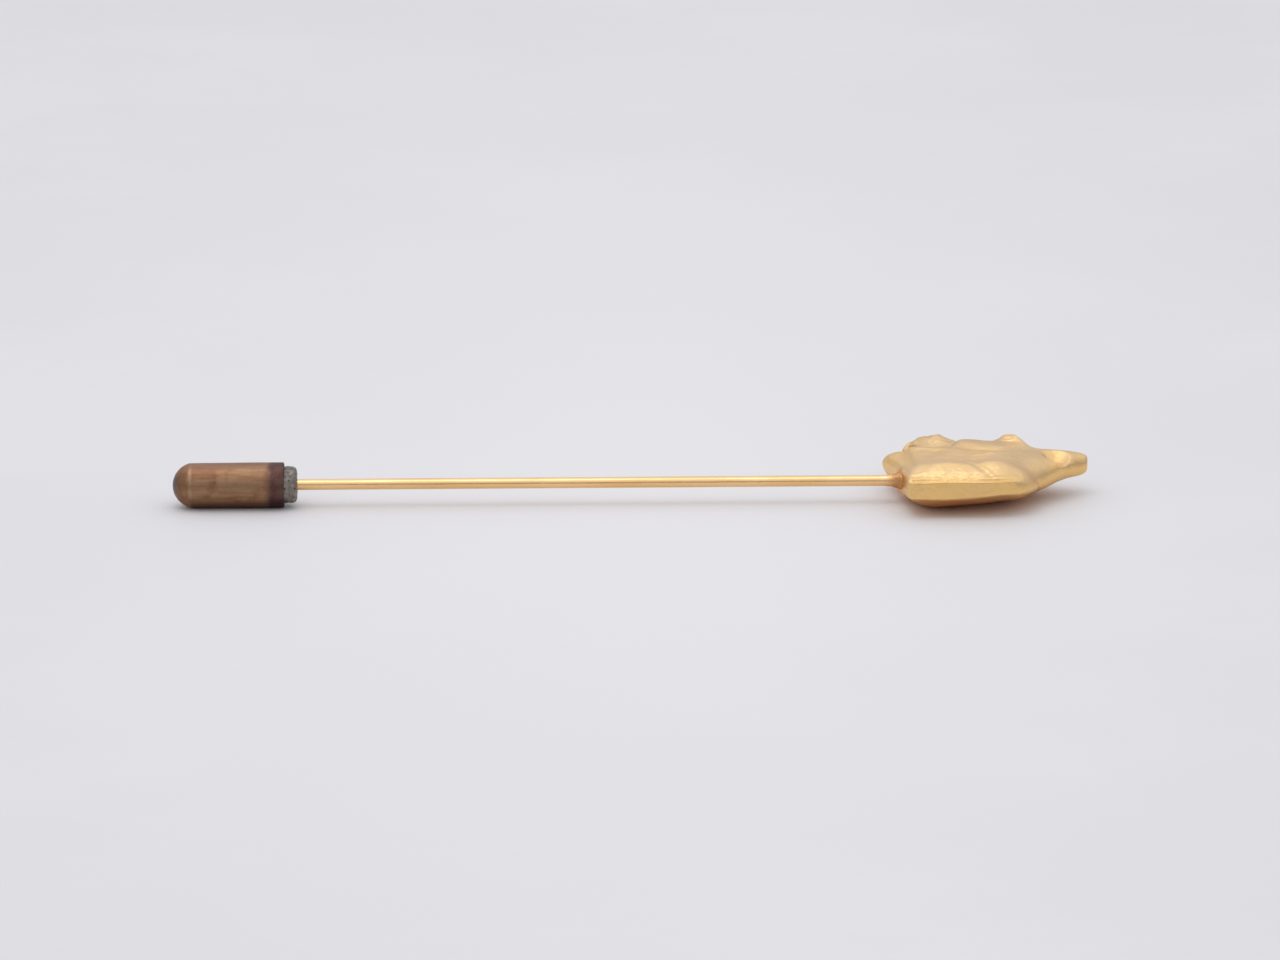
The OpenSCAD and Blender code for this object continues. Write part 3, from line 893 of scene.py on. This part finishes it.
# painted highlight: paler along the top of the cup
aged.paint(aged.band("Z", 2.9, 3.6), (0.35, 0.2, 0.125), share=0.5)
on_dome = aged.band("X", TIP_X + 1.45, TIP_X + 1.25)
aged.paint(on_dome, (0.2, 0.115, 0.07), 0.4, share=0.6)
aged.paint(aged.mask(CLOUDS, 0.9, 0.45, 0.6), (0.42, 0.17, 0.06), share=aged.times(on_dome, 0.5))
# painted reflection: the tip of the dome is blue-grey
aged.paint(aged.band("X", TIP_X + 0.6, TIP_X), (0.1, 0.09, 0.105), 0.4, share=0.8)
crease = aged.times(
    aged.band("X", TIP_X + 1.2, TIP_X + 1.4), aged.band("X", TIP_X + 1.7, TIP_X + 1.5))
aged.paint(aged.mask(CLOUDS, 1.2, 0.4, 0.6), (0.5, 0.33, 0.24), share=aged.times(crease, 0.4))
past_band = aged.band("X", TIP_X + 7.4, TIP_X + 8.2)
uneven_edge = aged.times(past_band, aged.mask(CLOUDS, 1.6, 0.42, 0.55))
aged.paint(uneven_edge, (0.12, 0.06, 0.055), 0.5, share=0.7)
near_mouth = aged.band("X", TIP_X + 7.8, TIP_X + 8.3)
aged.paint(near_mouth, (0.12, 0.068, 0.063), 0.5, share=0.85)
aged.paint(aged.mask(CLOUDS, 0.9, 0.4, 0.6), (0.08, 0.028, 0.026), share=aged.times(near_mouth, 0.5))
# painted shade: the band near the mouth is darkest at its bottom
mouth_low_shade = aged.times(near_mouth, aged.band("Z", 1.5, 0.5))
aged.paint(mouth_low_shade, (0.055, 0.018, 0.018), share=0.7)
aged.relief(aged.mask(STREAKS, 0.3, 0.2, 0.8), 0.01)
aged.finish(cup)

grey = Metal("grey_metal", (0.21, 0.19, 0.165), 0.55)
grey.paint(grey.mask(CLOUDS, 0.5), (0.36, 0.32, 0.29), 0.65)
some = grey.times(grey.mask(CLOUDS, 0.7, 0.4, 0.55), 0.8)
grey.paint(grey.mask(SPECKS, 0.34, 0.42, 0.15), (0.04, 0.055, 0.035), share=some)
grey.relief(grey.mask(CLOUDS, 0.25, 0.2, 0.8), 0.03)
grey.finish(plug)

# %% [markdown]
# ## The pieces join the frame
# Every piece rides on its body, and the CAD nodes that the pieces stand for are hidden.

# %% Riding
for piece, body, slot_name in (
        (head, "pin", "gold_plate"), (stem, "pin", "gold_plate"), (solder, "pin", "gold_plate"),
        (cup, "keeper", "aged_brass"), (plug, "keeper", "grey_metal")):
    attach(piece, body)
for piece in (head, stem, solder):
    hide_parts("horse_pin")
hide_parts("keeper_shell")
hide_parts("keeper_insert")
print("on the pin: head, stem, solder; on the keeper: cup, plug")

# %% [markdown]
# ## Table and light
# The table is a seamless pale sheet. Its colour is painted darker away from the middle:
# painted shade, for the light that falls off there in a light tent. A sheet that curves up
# behind isn't needed, because the camera looks down on it everywhere.

# %% Table
TABLE_WIDTH = 6
LIT_PATCH = (0.17, 0.5, 1)

bpy.ops.object.select_all(action="DESELECT")
bpy.ops.mesh.primitive_plane_add(size=TABLE_WIDTH)
table = bpy.context.object
table.name = "table"
sheet = Metal("pale_sheet", (0.79, 0.772, 0.767), 0.6)
sheet.shader.inputs["Metallic"].default_value = 0
sheet.shader.inputs["Specular IOR Level"].default_value = 0.2
shade = sheet.nodes.new("ShaderNodeTexGradient")
shade.gradient_type = "QUADRATIC_SPHERE"
around = sheet.nodes.new("ShaderNodeMapping")
around.vector_type = "TEXTURE"
around.inputs["Scale"].default_value = LIT_PATCH
sheet.links.new(sheet.place, around.inputs["Vector"])
sheet.links.new(around.outputs[0], shade.inputs["Vector"])
edge = sheet.nodes.new("ShaderNodeMath")
edge.operation = "SUBTRACT"
edge.inputs[0].default_value = 1
sheet.links.new(shade.outputs["Fac"], edge.inputs[1])
# painted shade: the sheet darkens away from the middle
sheet.paint(edge.outputs[0], (0.62, 0.606, 0.61), share=0.6)
sheet.paint(sheet.mask(CLOUDS, 60), (0.785, 0.767, 0.762), share=0.4)
sheet.finish(table)

# %% [markdown]
# In a light tent the light comes from everywhere, most of all from above. The world is
# a soft sky: dim low down in front, where the camera's opening is, and darkest at the
# horizon there, paler low down behind, and brightest overhead. A tent of white planes
# with lamps outside would give the same, with more noise in the render.

# %% Sky
ZENITH = (1.05, 1.07, 1.13)
BEHIND = (0.62, 0.62, 0.645)
IN_FRONT = (0.47, 0.47, 0.49)
HORIZON = (0.26, 0.26, 0.28)

room = bpy.data.worlds.new("light_tent")
bpy.context.scene.world = room
room.use_nodes = True
tent, join = room.node_tree.nodes, room.node_tree.links
toward = tent.new("ShaderNodeSeparateXYZ")
join.new(tent.new("ShaderNodeTexCoord").outputs["Generated"], toward.inputs[0])


def blended(value, start, end, first, second):
    """A colour that goes from first to second as value goes from start to end."""
    share = tent.new("ShaderNodeMapRange")
    share.interpolation_type = "SMOOTHSTEP"
    share.inputs["From Min"].default_value = start
    share.inputs["From Max"].default_value = end
    join.new(value, share.inputs["Value"])
    mix = tent.new("ShaderNodeMix")
    mix.data_type = "RGBA"
    join.new(share.outputs[0], mix.inputs[0])
    for index, colour in ((6, first), (7, second)):
        if isinstance(colour, bpy.types.NodeSocket):
            join.new(colour, mix.inputs[index])
        else:
            mix.inputs[index].default_value = (*colour, 1)
    return mix.outputs[2]


front = blended(toward.outputs["Z"], 0.04, 0.24, HORIZON, IN_FRONT)
low = blended(toward.outputs["Y"], -0.3, 0.5, front, BEHIND)
sky = blended(toward.outputs["Z"], 0.1, 0.85, low, ZENITH)
join.new(sky, tent["Background"].inputs["Color"])
print("brightest overhead:", ZENITH)

# %% [markdown]
# One lamp above and to the left adds a direction. It is wide for its distance, so its
# shadow has only a soft edge. The Standard view keeps the pale table pale.

# %% Lamp
LAMP_AT = Vector((-0.1, -0.06, 0.6))
LAMP_WIDTH = 0.4
LAMP_WATTS = 0.36

overhead = bpy.data.lights.new("overhead", "AREA")
overhead.shape = "DISK"
overhead.size = LAMP_WIDTH
overhead.energy = LAMP_WATTS
lamp = bpy.data.objects.new("overhead", overhead)
bpy.context.scene.collection.objects.link(lamp)
lamp.location = LAMP_AT
lamp.rotation_euler = (-LAMP_AT).to_track_quat("-Z", "Y").to_euler()
bpy.context.scene.view_settings.view_transform = "Standard"
print(f"lamp {LAMP_AT.length:.2f} m from the pin")
